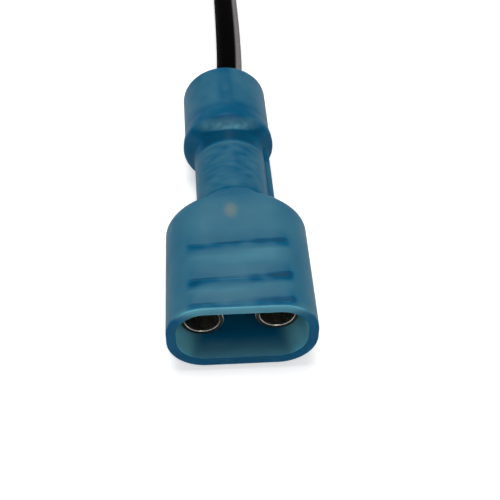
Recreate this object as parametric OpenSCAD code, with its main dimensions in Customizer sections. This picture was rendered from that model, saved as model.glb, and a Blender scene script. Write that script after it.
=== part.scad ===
// Fully insulated female spade terminal on a short lead.
// The mouth faces -Y, the wire leaves towards +Y and the wide grip face is up.
// The origin is under the middle of the terminal, on the surface that it lies on.

/* [Tab that it fits] */
// Width of the mating tab
tab_w = 6.3; // [4.8:0.1:6.6]
// Thickness of the mating tab
tab_t = 0.8; // [0.5:0.05:0.9]

/* [Receptacle] */
// Thickness of the folded sheet
sheet_t = 0.32; // [0.3:0.01:0.45]
// Outer diameter of each rolled edge
roll_d = 2.95; // [2.8:0.05:3.4]
// Room beside the tab inside each roll
tab_side = 0.52; // [0.2:0.01:0.6]
// Outer radius of the bend between the base and a roll
bend_r = 1; // [0.7:0.05:1.3]
// Length of the rolled edges
roll_l = 6.9; // [6:0.1:9]
// How far the rolls stand back from the mouth
recess = 1.65; // [1:0.05:4]
// How much narrower the slot is than the tab that springs it open
slot_pinch = 0.15; // [0:0.05:0.25]
// How far the barrel stands back inside the neck's bore
barrel_set = 0.8; // [0.3:0.1:2]
// Outer radius of the ball-shaped detent
detent_r = 1; // [0.8:0.05:1.2]
// Height of the detent below the inside of the base
detent_h = 0.25; // [0.1:0.05:0.35]
// Gap left at the seam of the rolled barrel
seam_gap = 0.12; // [0.05:0.01:0.3]

/* [Barrel and sleeve] */
// Bore of the crimped barrel
barrel_bore = 1.76; // [1.6:0.01:2]
// Length of the barrel
barrel_l = 5.8; // [4.5:0.1:8]
// Wall of the support sleeve
sleeve_t = 0.37; // [0.25:0.01:0.45]
// Outer diameter of the sleeve's wide end
sleeve_d = 5.85; // [5.3:0.05:6.3]
// Length of the sleeve's wide end
sleeve_l = 3; // [2:0.1:4]
// Length of the flare between the sleeve's two ends
flare_l = 0.9; // [0.6:0.1:1.2]
// How far the sleeve's narrow end stops short of the barrel's front
sleeve_back = 0.5; // [0.2:0.1:1]
// How far the sleeve's narrow part runs on behind the barrel
sleeve_run = 1.1; // [0.5:0.1:2]

/* [Housing] */
// Wall of the mouth shell
shell_wall = 0.65; // [0.5:0.05:0.9]
// Radius of the shell's long outer edges
edge_r = 2.6; // [1.8:0.1:2.6]
// Room on each side of the receptacle
side_room = 0.36; // [0.3:0.01:0.8]
// Room above and below the receptacle
face_room = 0.85; // [0.6:0.05:1.2]
// Straight shell behind the rolls, before the shoulder starts
shell_tail = 0.15; // [0:0.05:1]
// Length of the rounded shoulder
shoulder_l = 2.3; // [1.6:0.1:3.5]
// How softly the shoulder runs out into the neck
shoulder_soft = 1.3; // [1:0.05:1.6]
// Wall of the crimped neck
neck_wall = 1.07; // [0.8:0.01:1.2]
// Wall of the insulation tube
tube_wall = 0.42; // [0.35:0.01:0.6]
// How far the collar bulges beyond the tube
bulge = 0.16; // [0.1:0.01:0.3]
// Length of the step from the neck up to the collar
step_l = 1; // [1:0.1:2]
// Length over which the collar falls back to the tube
fall_l = 1.6; // [1.2:0.1:3]
// Length of the insulation tube behind the collar
tube_l = 4.45; // [4:0.05:9]
// Size of the funnel edge where the wire goes in
funnel = 0.2; // [0.1:0.02:0.3]

/* [Grip and crimp marks] */
// Distance from the mouth to the grip step at the lip
grip_lip = 0.4; // [0.15:0.05:0.6]
// Distance from the mouth to the middle grip step
grip_mid = 2.5; // [2:0.05:3]
// Distance from the mouth to the rear grip step
grip_back = 5.6; // [5:0.05:6.5]
// Depth of a grip step
grip_depth = 0.22; // [0.1:0.02:0.3]
// Length of the slope that runs down into a grip step
grip_slope = 1.2; // [0.5:0.05:1.4]
// How far the crimp's flash ridge stands out of the neck
ridge_out = 0.42; // [0.1:0.02:0.5]
// Width of the flash ridge
ridge_w = 0.6; // [0.4:0.05:0.8]
// Depth of the flats that the crimp presses into the neck
crimp_flat = 0.12; // [0.05:0.01:0.18]
// How far the flats stop short of the shoulder and the collar
crimp_margin = 0.3; // [0.1:0.05:0.6]

/* [Set of the crimp] */
// How far the rolls have turned about the part's axis in the loose housing, in degrees
roll_set = 4.5; // [0:0.5:5]
// How far the crimp leaves the rolls swung to one side, in degrees
front_swing = 0.8; // [0:0.1:1]
// How far the crimp leaves the neck, collar and tube swung to the same side, in degrees
rear_swing = 0.8; // [0:0.1:1]

/* [Wire] */
// Outer diameter of the wire
wire_d = 2.2; // [1.8:0.1:2.4]
// Diameter of one strand
strand_d = 0.5; // [0.3:0.02:0.5]
// Bare strands between the barrel and the wire's jacket
bare_l = 0.8; // [0.5:0.1:1.5]
// How far the strands show in front of the barrel
strand_out = 0.7; // [0.3:0.1:1.2]
// Length of the stripped end
strip_l = 6; // [4:0.5:7]

/* [Clearances] */
// Gap between pieces that are pressed or slid into each other
fit_gap = 0.03; // [0.01:0.01:0.05]

/* [Hidden] */
$fn = 64;

// Receptacle section, seen from the mouth: the base is on top and the rolls hang from it
receptacle_w = tab_w + 2 * (tab_side + sheet_t);
base_z = roll_d / 2;
roll_mid_r = (roll_d - sheet_t) / 2;
roll_x = receptacle_w / 2 - roll_d / 2;
slot_h = tab_t - slot_pinch;
// Each roll turns on until its free edge stands one slot below the base
roll_turn = 180 + asin((base_z - sheet_t - slot_h) / roll_mid_r);

// Barrel, sleeve and the bores around them
barrel_d = barrel_bore + 2 * sheet_t;
sleeve_neck_d = barrel_d + 2 * (fit_gap + sleeve_t);
neck_bore = sleeve_neck_d + 2 * fit_gap;
neck_d = neck_bore + 2 * neck_wall;
tube_bore = sleeve_d + 2 * fit_gap;
tube_d = tube_bore + 2 * tube_wall;
collar_d = tube_d + 2 * bulge;

// Shell around the receptacle
cavity_w = receptacle_w + 2 * side_room;
cavity_h = roll_d + 2 * face_room;
cavity_r = edge_r - shell_wall;
shell_w = cavity_w + 2 * shell_wall;
shell_h = cavity_h + 2 * shell_wall;

// Stations along the part, measured back from the mouth
rolls_end_s = recess + roll_l;
shell_s = rolls_end_s + shell_tail;
neck_s = shell_s + shoulder_l;
throat_s = neck_s - shell_wall;
barrel_s = throat_s + barrel_set;
barrel_end_s = barrel_s + barrel_l;
flare_s = barrel_end_s + sleeve_run;
collar_s = flare_s + flare_l;
fall_s = collar_s + fit_gap;
tube_s = fall_s + fall_l;
end_s = tube_s + tube_l;
jacket_s = barrel_end_s + bare_l;

mouth_y = -end_s / 2;
axis_z = max(collar_d, shell_h) / 2;

// Faceting of lofts and curves, and the laps that join neighbours
loft_steps = 10;
corner_steps = 9;
curve_steps = 10;
lap = 0.15;
skin = 0.01;

// Strands: one in the middle and a ring around it, a hair apart
ring_strands = 6;
strand_gap = 0.02;
strand_pitch = strand_d + strand_gap;
bundle_r = strand_pitch + strand_d / 2;

// Route of the wire's middle: distance behind the terminal, sideways, height
wire_route = [
    [0, 0.14, 3.5], [3, 0.36, 3.5], [6, 0.48, 3.45], [9, 0.53, 3.3], [12, 0.56, 3],
    [15, 0.58, 2.55], [18, 0.6, 2], [21, 0.6, 1.48], [23.3, 0.6, 1.18], [25.4, 0.72, 1.1],
    [27.2, 1.03, 1.1], [29, 1.53, 1.1]
];
wire_sides = 8;
// Coil of two turns lying beside each other, and the stripped end inside it
coil_back = 35.5;
coil_side = -7.7;
coil_out_r = 11;
coil_in_r = 8.8;
strip_r = 6.5;
coil_tail_a = 25;
coil_turn_a = 90;

// Moves a drawing's origin to the part's axis at a station behind the mouth
module at(s) translate([0, mouth_y + s, axis_z]) children();

// Swings a drawing to one side about the throat, where the sheet leaves the rolls
module swung(angle) at(throat_s) rotate([0, 0, angle]) translate([0, -mouth_y - throat_s, -axis_z])
    children();

// Extrudes a section, seen from the mouth, from one station to another
module along(s0, s1) at(s1) rotate([90, 0, 0]) linear_extrude(s1 - s0) children();

// Extrudes a side view of station and height across a width
module across(w) at(0) rotate([90, 0, 90]) linear_extrude(w, center = true) children();

// Turns a profile of radius and station about the part's axis
module turned() at(0) rotate([-90, 0, 0]) rotate_extrude() children();

// Repeats a drawing on the top and, turned over, on the bottom
module top_and_bottom() for (turn = [0, 180]) turned_over(turn) children();

// Turns a drawing about the part's axis
module turned_over(turn) at(0) rotate([0, turn, 0]) translate([0, -mouth_y, -axis_z]) children();

// Half a wave that rises from 0 to 1
function swell(u) = (1 - cos(180 * u)) / 2;

// Rectangle with rounded corners
module rounded_rect(w, h, r) {
    for (x = [-1, 1], y = [-1, 1])
        translate([x * (w / 2 - r), y * (h / 2 - r)]) circle(r);
    square([w, h - 2 * r], center = true);
    square([w - 2 * r, h], center = true);
}

// Points round a rectangle with rounded corners, turning from +X through +Z
function rounded_points(w, h, r) = [
    for (q = [0:3], i = [0:corner_steps])
        let (a = 90 * (q + i / corner_steps),
             sx = q == 0 || q == 3 ? 1 : -1,
             sz = q < 2 ? 1 : -1)
        [sx * (w / 2 - r) + r * cos(a), sz * (h / 2 - r) + r * sin(a)]
];

// Closed solid through rings of points, each ring with the same number of points
module through_rings(rings) {
    n = len(rings[0]);
    m = len(rings);
    sides = [for (k = [0:m - 2], i = [0:n - 1], half = [0, 1])
        let (a = k * n + i, b = k * n + (i + 1) % n)
        half == 0 ? [a, b, b + n] : [a, b + n, a + n]];
    front = [for (i = [n - 1:-1:0]) i];
    back = [for (i = [0:n - 1]) (m - 1) * n + i];
    polyhedron([for (ring = rings, p = ring) p], concat([front], sides, [back]), convexity = 4);
}

// A rounded section standing at a station
function ring_at(s, w, h, r) = [for (p = rounded_points(w, h, r)) [p[0], mouth_y + s, axis_z + p[1]]];

// Carries a rounded section of w by h over a quarter turn to a circle of diameter d
module shoulder(w, h, r, d, s0, length) {
    body = [for (k = [0:loft_steps])
        let (a = 90 * k / loft_steps,
             keep = pow(cos(a), shoulder_soft),
             wk = d + (w - d) * keep,
             hk = d + (h - d) * keep,
             rk = min(d / 2 + (r - d / 2) * keep, wk / 2, hk / 2))
        ring_at(s0 + length * sin(a), wk - skin, hk - skin, rk - skin)];
    through_rings(concat(
        [ring_at(s0 - lap, w - skin, h - skin, r - skin)],
        body,
        [ring_at(s0 + length + lap, d - 2 * skin, d - 2 * skin, d / 2 - 2 * skin)]));
}

// Outside of the neck, collar and tube, as radius against station
module rear_profile() {
    neck_r = neck_d / 2;
    collar_r = collar_d / 2;
    tube_r = tube_d / 2;
    polygon(concat(
        [[0, neck_s - lap], [neck_r, neck_s - lap]],
        [for (k = [0:curve_steps]) let (u = k / curve_steps)
            [neck_r + (collar_r - neck_r) * swell(u), fall_s - step_l * (1 - u)]],
        [for (k = [1:curve_steps]) let (u = k / curve_steps)
            [collar_r + (tube_r - collar_r) * swell(u), fall_s + fall_l * u]],
        [[tube_r, end_s], [0, end_s]]));
}

// Inside of the neck, flare and tube, with a funnel edge for the wire
module bore_profile() {
    ahead = 2 * fit_gap;
    polygon([
        [0, throat_s], [neck_bore / 2, throat_s],
        [neck_bore / 2, flare_s - ahead], [tube_bore / 2, collar_s - ahead],
        [tube_bore / 2, end_s - funnel], [tube_bore / 2 + funnel, end_s],
        [tube_bore / 2 + funnel, end_s + lap], [0, end_s + lap]
    ]);
}

// Side view of one grip step: a steep front and a slope that rises behind it
module grip_profile(s) {
    top = shell_h / 2;
    floor_z = top - grip_depth;
    polygon([[s, floor_z], [s + grip_slope, top], [s + grip_slope, top + lap], [s, top + lap]]);
}

// Flash that the crimp squeezes out along one side of the neck
module flash_ridge() {
    along(neck_s - lap, fall_s - step_l / 2) {
        translate([neck_d / 2 + ridge_out - ridge_w / 2, 0]) circle(ridge_w / 2);
        translate([neck_d / 4, -ridge_w / 2])
            square([neck_d / 4 + ridge_out - ridge_w / 2, ridge_w]);
    }
}

// Flat that the crimp presses into the neck
module crimp_profile() {
    s0 = neck_s + crimp_margin;
    s1 = fall_s - step_l - crimp_margin;
    translate([s0, neck_d / 2 - crimp_flat]) square([s1 - s0, crimp_flat + lap]);
}

module housing() color([0.25, 0.5, 0.65]) difference() {
    union() {
        along(0, shell_s) rounded_rect(shell_w, shell_h, edge_r);
        shoulder(shell_w, shell_h, edge_r, neck_d, shell_s, shoulder_l);
        swung(rear_swing) {
            turned() rear_profile();
            flash_ridge();
        }
    }
    along(-lap, shell_s) rounded_rect(cavity_w, cavity_h, cavity_r);
    shoulder(cavity_w, cavity_h, cavity_r, neck_bore, shell_s, shoulder_l - shell_wall);
    swung(rear_swing) turned() bore_profile();
    top_and_bottom() {
        for (s = [grip_lip, grip_mid, grip_back]) across(shell_w) grip_profile(s);
        across(neck_d) crimp_profile();
    }
}

// Part of a ring of sheet, between two angles
module bent_strip(mid_r, a0, a1) {
    reach = 4 * mid_r;
    intersection() {
        difference() {
            circle(mid_r + sheet_t / 2);
            circle(mid_r - sheet_t / 2);
        }
        polygon(concat([[0, 0]], [for (i = [0:4])
            let (a = a0 + (a1 - a0) * i / 4)
            [reach * cos(a), reach * sin(a)]]));
    }
}

// Section of one half of the folded sheet, from the middle of the base to the roll's free edge
module rolled_half() {
    translate([0, base_z - sheet_t]) square([receptacle_w / 2 - bend_r, sheet_t]);
    translate([receptacle_w / 2 - bend_r, base_z - bend_r])
        bent_strip(bend_r - sheet_t / 2, 0, 90);
    translate([receptacle_w / 2 - sheet_t, 0]) square([sheet_t, base_z - bend_r]);
    translate([roll_x, 0]) bent_strip(roll_mid_r, -roll_turn, 0);
}

// Base plate that narrows and comes down from the rolls to the barrel
module channel_floor() {
    wide = receptacle_w / 2 - bend_r;
    narrow = barrel_d / 3;
    barrel_top = barrel_d / 2;
    intersection() {
        across(receptacle_w) polygon([
            [rolls_end_s - lap, base_z], [rolls_end_s, base_z], [throat_s, barrel_top],
            [barrel_s + lap, barrel_top], [barrel_s + lap, barrel_top - sheet_t],
            [throat_s, barrel_top - sheet_t], [rolls_end_s, base_z - sheet_t],
            [rolls_end_s - lap, base_z - sheet_t]]);
        at(0) linear_extrude(base_z + lap) polygon([
            [-wide, rolls_end_s - lap], [wide, rolls_end_s - lap], [narrow, throat_s],
            [narrow, barrel_s + lap], [-narrow, barrel_s + lap], [-narrow, throat_s]]);
    }
}

// Rolled tube of the barrel, cut away in a slope where it opens into the channel
module barrel_tube() {
    difference() {
        along(rolls_end_s, barrel_end_s) difference() {
            circle(barrel_d / 2);
            circle(barrel_bore / 2);
            translate([-seam_gap / 2, -barrel_d]) square([seam_gap, barrel_d]);
        }
        across(2 * barrel_d) polygon([
            [0, barrel_d / 4], [rolls_end_s, barrel_d / 4],
            [barrel_s, -barrel_d], [0, -barrel_d]]);
    }
}

module receptacle() color([0.78, 0.78, 0.74]) {
    ball_z = base_z - sheet_t - detent_h + detent_r;
    swung(rear_swing) barrel_tube();
    turned_over(-roll_set) swung(-front_swing) difference() {
        union() {
            along(recess, rolls_end_s) {
                rolled_half();
                mirror([1, 0]) rolled_half();
            }
            channel_floor();
            // The underside of the detent ball
            intersection() {
                at(recess + roll_l / 2) translate([0, 0, ball_z]) sphere(detent_r);
                at(recess + roll_l / 2) translate([0, 0, base_z - detent_r - sheet_t / 2])
                    cube(2 * detent_r, center = true);
            }
        }
        at(recess + roll_l / 2) translate([0, 0, ball_z]) sphere(detent_r - sheet_t);
    }
}

module support_sleeve() color([0.72, 0.66, 0.5]) swung(rear_swing) turned() {
    in_r = barrel_d / 2 + fit_gap;
    neck_r = sleeve_neck_d / 2;
    wide_r = sleeve_d / 2;
    polygon([
        [in_r, barrel_s + sleeve_back], [neck_r, barrel_s + sleeve_back], [neck_r, flare_s],
        [wide_r, collar_s], [wide_r, collar_s + sleeve_l], [wide_r - sleeve_t, collar_s + sleeve_l],
        [wide_r - sleeve_t, collar_s + sleeve_t / 2], [in_r, flare_s + sleeve_t / 2]
    ]);
}

module conductor() color([0.85, 0.82, 0.75]) swung(rear_swing) along(barrel_s - strand_out, jacket_s) {
    circle(strand_d / 2);
    for (k = [0:ring_strands - 1])
        rotate(360 * k / ring_strands) translate([strand_pitch, 0]) circle(strand_d / 2);
}

// One ring of the wire, square to the way from the point before to the point after
function wire_ring(route, k) =
    let (ahead = route[min(k + 1, len(route) - 1)] - route[max(k - 1, 0)],
         way = ahead / norm(ahead),
         side = [way[1], -way[0], 0] / norm([way[0], way[1]]),
         up = cross(side, way))
    [for (i = [0:wire_sides - 1]) let (a = 360 * (i + 0.5) / wire_sides)
        route[k] + wire_d / 2 * (cos(a) * side + sin(a) * up)];

// Moves a drawing to the middle of the coil, at the height of the wire that lies in it
module at_coil() translate([coil_side, mouth_y + end_s + coil_back, wire_d / 2]) children();

// Both turns of the coil in one ring with round edges
module coil_ring() at_coil() rotate_extrude() {
    for (r = [coil_in_r, coil_out_r]) translate([r, 0]) circle(wire_d / 2);
    translate([coil_in_r, -wire_d / 2]) square([coil_out_r - coil_in_r, wire_d]);
}

// From inside the crimp to the coil, which it runs into
module wire() color([0.05, 0.05, 0.05]) difference() {
    inside = [for (s = [jacket_s, (jacket_s + tube_s) / 2])
        [-(s - throat_s) * tan(rear_swing), mouth_y + s, axis_z]];
    behind = [for (p = wire_route) [p[1], mouth_y + end_s + p[0], p[2]]];
    route = concat(inside, behind);
    through_rings([for (k = [0:len(route) - 1]) wire_ring(route, k)]);
    coil_ring();
}

// A point of the wire's last stretch, which turns in from the ring to the stripped end
function tail_point(a) =
    let (u = min((a + coil_turn_a + coil_tail_a) / coil_turn_a, 1),
         r0 = coil_in_r + 0.3,
         r = r0 + (strip_r - r0) * u * u * (3 - 2 * u))
    [r * cos(a), r * sin(a), 0];

module wire_coil() color([0.05, 0.05, 0.05]) {
    coil_ring();
    route = [for (a = [-coil_turn_a - coil_tail_a:5:5]) tail_point(a)];
    at_coil() through_rings([for (k = [0:len(route) - 2]) wire_ring(route, k)]);
}

module stripped_end() color([0.85, 0.82, 0.75]) at_coil()
    rotate_extrude(angle = strip_l / strip_r * 180 / PI) translate([strip_r, 0]) circle(bundle_r);

housing();
receptacle();
support_sleeve();
conductor();
wire();
wire_coil();
stripped_end();
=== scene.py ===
from math import asin, ceil, cos, exp, hypot, pi, radians, sin, sqrt

import bmesh
import bpy
from mathutils import Matrix, Vector, noise


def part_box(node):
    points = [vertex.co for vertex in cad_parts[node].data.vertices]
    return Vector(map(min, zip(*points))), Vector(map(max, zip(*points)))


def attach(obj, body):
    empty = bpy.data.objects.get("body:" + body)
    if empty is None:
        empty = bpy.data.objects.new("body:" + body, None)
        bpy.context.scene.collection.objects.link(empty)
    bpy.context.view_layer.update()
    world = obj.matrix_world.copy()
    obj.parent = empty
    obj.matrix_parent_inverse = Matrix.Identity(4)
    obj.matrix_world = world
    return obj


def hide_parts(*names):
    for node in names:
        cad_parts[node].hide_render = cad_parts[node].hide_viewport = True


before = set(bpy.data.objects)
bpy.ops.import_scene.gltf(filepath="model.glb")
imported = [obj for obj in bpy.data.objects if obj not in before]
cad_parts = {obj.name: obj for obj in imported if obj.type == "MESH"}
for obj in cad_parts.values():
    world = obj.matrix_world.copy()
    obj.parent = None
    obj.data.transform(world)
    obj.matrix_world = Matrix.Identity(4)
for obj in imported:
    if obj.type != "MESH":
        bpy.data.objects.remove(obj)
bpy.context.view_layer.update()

bl_info = {
    "name": "Female Spade Terminal",
    "version": (1, 0, 0),
    "blender": (4, 5, 0),
    "location": "View3D > Sidebar > Terminal",
    "description": "Builds a fully insulated female spade terminal on a short lead, with its stage",
    "category": "Object",
}

MM = 0.001

# Places that the CAD frame gives
HOUSING_LOW, HOUSING_HIGH = (Vector(corner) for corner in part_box("housing"))
MOUTH_Y = HOUSING_LOW.y
END_S = HOUSING_HIGH.y - MOUTH_Y
SHELL_W = HOUSING_HIGH.x - HOUSING_LOW.x
AXIS_Z = HOUSING_HIGH.z / 2
# Where the sheet leaves the rolls, about which the crimp has swung the part's two ends
THROAT_S = 10.35 * MM
# How far to the side the coil's middle lies, and the degrees by which the stripe faces up from +X
COIL_SIDE = -7.7 * MM
STRIPE_TURN = 10
# Half of the stripe's width, and how soft its edges are, as shares of the way round the jacket
STRIPE_HALF, STRIPE_SOFT = 0.13, 0.02
# The pale, warm spot on top of the shoulder: its place, and its width as a share of its length
PALE_SPOT = Vector((-0.35 * MM, MOUTH_Y + 8.85 * MM, AXIS_Z + 2.95 * MM))
PALE_SPOT_STRETCH = 0.62
# How full the shoulders are: 1 is a quarter of an ellipse, and more is leaner
SHOULDER_LEAN = 1.3
# Half of the soft edge at the back of a grip step
GRIP_EDGE = 0.04 * MM
# Levels of painted light and shade on the nylon: 0 painted shade where it is squeezed onto metal, 0.5 over
# air, 1 painted light where light comes through
CAVITY_PAINTED_LIGHT, SLEEVE_PAINTED_LIGHT, TUBE_PAINTED_LIGHT, AIR_PAINTED_LIGHT = 0.08, 0.23, 0.36, 0.5


def linear(hex_value):
    """The linear colour of an sRGB hex value such as 4A7C94."""
    levels = (int(hex_value[i:i + 2], 16) / 255 for i in (0, 2, 4))
    return tuple(v / 12.92 if v <= 0.04045 else ((v + 0.055) / 1.055) ** 2.4 for v in levels)


def length_property(name, description, millimetres):
    """A size in metres, with its default given in millimetres."""
    return bpy.props.FloatProperty(
        name=name, description=description, default=millimetres * MM, min=0, precision=5, unit="LENGTH"
    )


def angle_property(name, description, degrees):
    """An angle with its default given in degrees."""
    return bpy.props.FloatProperty(
        name=name, description=description, default=radians(degrees), precision=3, subtype="ANGLE"
    )


def colour_property(name, description, hex_value):
    """A colour with its default given as an sRGB hex value."""
    return bpy.props.FloatVectorProperty(
        name=name, description=description, default=linear(hex_value), min=0, max=1, size=3, subtype="COLOR"
    )


class HousingSizes(bpy.types.PropertyGroup):
    """Sizes of the moulded housing."""

    shell_h: length_property("Shell Height", "Outer height of the mouth shell", 5.95)
    shell_wall: length_property("Shell Wall", "Wall of the mouth shell", 0.65)
    edge_r: length_property("Edge Radius", "Radius of the shell's long outer edges", 2.6)
    lip_r: length_property("Lip Radius", "How softly the mouth's lip is rounded", 0.06)
    shell_s: length_property("Shell Length", "Where the shoulder starts, behind the mouth", 8.7)
    shoulder_l: length_property("Shoulder Length", "Length of the rounded shoulder", 2.3)
    neck_d: length_property("Neck Diameter", "Outer diameter of the crimped neck", 5.4)
    neck_bore: length_property("Neck Bore", "Inner diameter of the crimped neck", 3.26)
    tube_d: length_property("Tube Diameter", "Outer diameter of the insulation tube", 6.75)
    tube_bore: length_property("Tube Bore", "Inner diameter of the insulation tube", 5.91)
    bulge: length_property("Collar Bulge", "How far the collar stands out of the tube", 0.16)
    collar_s: length_property("Collar Place", "Where the collar is widest, behind the mouth", 18.98)
    step_l: length_property("Collar Step", "Length of the step from the neck to the collar", 1)
    fall_l: length_property("Collar Fall", "Length over which the collar falls back to the tube", 1.6)
    flare_l: length_property("Bore Flare", "Length of the flare inside the collar", 0.9)
    funnel: length_property("Funnel Edge", "Size of the funnel edge at the wire's end", 0.2)
    grip_lip: length_property("Front Grip", "Where the front grip step is, behind the mouth", 0.4)
    grip_mid: length_property("Middle Grip", "Where the middle grip step is, behind the mouth", 2.5)
    grip_back: length_property("Rear Grip", "Where the rear grip step is, behind the mouth", 5.6)
    grip_depth: length_property("Grip Depth", "Depth of a grip step", 0.22)
    grip_slope: length_property("Grip Slope", "Length of the slope behind a grip step", 1.2)
    groove_s: length_property("Crimp Groove", "Where the jaws' front edge has marked the neck", 11.6)
    groove_depth: length_property("Groove Depth", "Depth of that mark", 0.06)
    crimp_end_s: length_property("Crimp End", "Where the jaws' rear edge has marked the neck", 16.5)
    sleeve_seen_s: length_property("Sleeve Edge", "Where the sleeve's rear edge shows through the tube", 20.6)
    ridge_out: length_property("Flash Ridge", "How far the flash stands out beside the neck", 0.42)
    ridge_w: length_property("Flash Width", "Thickness of the flash beside the neck", 0.6)
    crimp_dent: length_property("Crimp Dent", "Depth of the dents that the crimp leaves in the neck", 0.12)
    rear_swing: angle_property("Rear Swing", "How far the crimp has swung the neck and tube sideways", 0.8)


class SheetSizes(bpy.types.PropertyGroup):
    """Sizes of the folded receptacle."""

    sheet_w: length_property("Receptacle Width", "Width over both rolled edges", 7.98)
    sheet_t: length_property("Sheet Thickness", "Thickness of the folded sheet", 0.32)
    recess: length_property("Recess", "How far the rolls stand back from the mouth", 1.65)
    roll_d: length_property("Roll Diameter", "Outer diameter of each rolled edge", 2.95)
    bend_r: length_property("Bend Radius", "Outer radius of the bend between base and roll", 1)
    slot_h: length_property("Slot Height", "Height of the slot that the tab slides into", 0.65)
    roll_l: length_property("Roll Length", "Length of the rolled edges", 6.9)
    detent_r: length_property("Detent Radius", "Outer radius of the ball-shaped detent", 1)
    detent_h: length_property("Detent Height", "Height of the detent under the base", 0.25)
    barrel_d: length_property("Barrel Diameter", "Outer diameter of the crimped barrel", 2.4)
    barrel_end_s: length_property("Barrel End", "Where the barrel ends, behind the mouth", 16.95)
    roll_set: angle_property("Roll Set", "How far the rolls have turned in the loose housing", 4.5)
    front_swing: angle_property("Front Swing", "How far the crimp has swung the rolls sideways", 0.8)
    seam_gap: length_property("Seam Gap", "Gap at the seam of the barrel", 0.12)
    edge_soft: length_property("Cut Edge", "How far the stamped edges are broken", 0.045)


class WireSizes(bpy.types.PropertyGroup):
    """Sizes of the lead."""

    wire_d: length_property("Wire Diameter", "Outer diameter of the wire", 2.2)
    jacket_s: length_property("Jacket Start", "Where the jacket starts, behind the mouth", 17.75)
    coil_back: length_property("Coil Distance", "From the terminal's rear to the coil's middle", 35.5)
    outer_r: length_property("Outer Turn", "Radius of the coil's outer turn", 11)
    inner_r: length_property("Inner Turn", "Radius of the coil's inner turn", 8.8)
    strip_r: length_property("Last Stretch", "Radius of the last stretch inside the coil", 6.5)
    strip_l: length_property("Stripped Length", "Length of the stripped end", 6)
    strand_d: length_property("Strand Diameter", "Diameter of one copper strand", 0.5)
    twist: length_property("Strand Lay", "Length in which the strands turn once", 14)


class Finishes(bpy.types.PropertyGroup):
    """Colours of the materials."""

    nylon: colour_property("Nylon", "The milky translucent nylon", "447D94")
    # A shaded and a lit copy of the nylon, with which its shade and light are painted
    nylon_shaded: colour_property("Nylon, Shaded", "The nylon where it is squeezed onto metal", "005C82")
    nylon_lit: colour_property("Nylon, Lit", "The nylon where light comes through its thin wall", "72C0D0")
    tin: colour_property("Tin", "Tin plating on the folded brass", "E9E6DC")
    brass: colour_property("Brass", "The drawn brass of the support sleeve", "B99B63")
    copper: colour_property("Tinned Copper", "The tinned copper strands", "CFC6B4")
    jacket: colour_property("Wire Jacket", "The soft black jacket", "030303")
    stripe: colour_property("Wire Stripe", "The grey stripe along the jacket", "8B8788")
    # A small pale, warm spot on top of the shoulder
    pale_spot: colour_property("Pale Spot", "The pale, warm mark where the mould was filled", "8C9584")
    floor: colour_property("Floor", "The matte white board under the part", "F4F4F4")


# -------- mesh helpers

def swung(point, angle):
    """A point swung to -X by that angle, as seen from behind, about the throat."""
    pivot = Vector((0, MOUTH_Y + THROAT_S, 0))
    return Matrix.Rotation(angle, 3, "Z") @ (Vector(point) - pivot) + pivot


def swell(u):
    """Half a wave that rises from 0 to 1."""
    return (1 - cos(pi * min(max(u, 0), 1))) / 2


def ease(low, high, value):
    """0 below low, 1 above high, and smooth between them."""
    u = min(max((value - low) / (high - low), 0), 1)
    return u * u * (3 - 2 * u)


def plateau(low, from_here, to_here, high, value):
    """1 between the two inner limits, 0 outside the two outer ones, and smooth between them."""
    return ease(low, from_here, value) * (1 - ease(to_here, high, value))


def mound(middle, half_width, value, power=2):
    """A smooth mound that is 1 at its middle, and flatter on top with a higher power."""
    return exp(-abs((value - middle) / half_width) ** power)


def section_point(w, h, r, share):
    """A point round a rounded rectangle, at that share of the way from +X through +Z."""
    side, top = h / 2 - r, w / 2 - r
    quarter = side + pi * r / 2 + top
    turn, part = divmod(4 * share, 1)
    way = quarter * (part if turn % 2 == 0 else 1 - part)
    if way < side:
        x, z = w / 2, way
    elif way < quarter - top:
        a = (way - side) / r
        x, z = top + r * cos(a), side + r * sin(a)
    else:
        x, z = quarter - way, h / 2
    return (x if turn in (0, 3) else -x), (z if turn < 2 else -z)


def start_ring(bm, count):
    """A ring of vertices in turning order, with the edges that join them."""
    return bmesh.ops.create_circle(bm, segments=count, radius=1)["verts"]


def next_ring(bm, ring):
    """Extrudes the edges between a ring's vertices and returns the new ring, in the same order."""
    edges = [bm.edges.get((ring[i - 1], ring[i])) for i in range(len(ring))]
    made = bmesh.ops.extrude_edge_only(bm, edges=[e for e in edges if e])
    fresh = {v for v in made["geom"] if isinstance(v, bmesh.types.BMVert)}
    return [next(e.other_vert(v) for e in v.link_edges if e.other_vert(v) in fresh) for v in ring]


def fix_order(bm):
    """Gives the mesh's elements an order that is the same in every run, as its operators don't."""
    for parts, place in (
        (bm.verts, lambda v: v.co[:]),
        (bm.edges, lambda e: (e.verts[0].co + e.verts[1].co)[:]),
        (bm.faces, lambda f: f.calc_center_median()[:]),
    ):
        rank = {part: k for k, part in enumerate(sorted(parts, key=place))}
        parts.sort(key=rank.get)


def finish_mesh(bm, name, outward=True):
    """Closes doubles, points the faces outwards, smooths them and makes an object at the origin."""
    bmesh.ops.remove_doubles(bm, verts=bm.verts, dist=1e-7)
    if outward:
        bmesh.ops.recalc_face_normals(bm, faces=bm.faces)
    fix_order(bm)
    for face in bm.faces:
        face.smooth = True
    mesh = bpy.data.meshes.new(name)
    bm.to_mesh(mesh)
    bm.free()
    made = bpy.data.objects.new(name, mesh)
    bpy.context.scene.collection.objects.link(made)
    return made


# -------- materials

def node(tree, kind, settings=None, **links):
    """Adds a node with its settings, and with values or links for its inputs, by name or as _number."""
    made = tree.nodes.new(kind)
    for key, value in (settings or {}).items():
        setattr(made, key, value)
    for key, value in links.items():
        socket = made.inputs[int(key[1:]) if key[1:].isdigit() else key.replace("_", " ")]
        if isinstance(value, bpy.types.NodeSocket):
            tree.links.new(value, socket)
        else:
            socket.default_value = value
    return made


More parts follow.
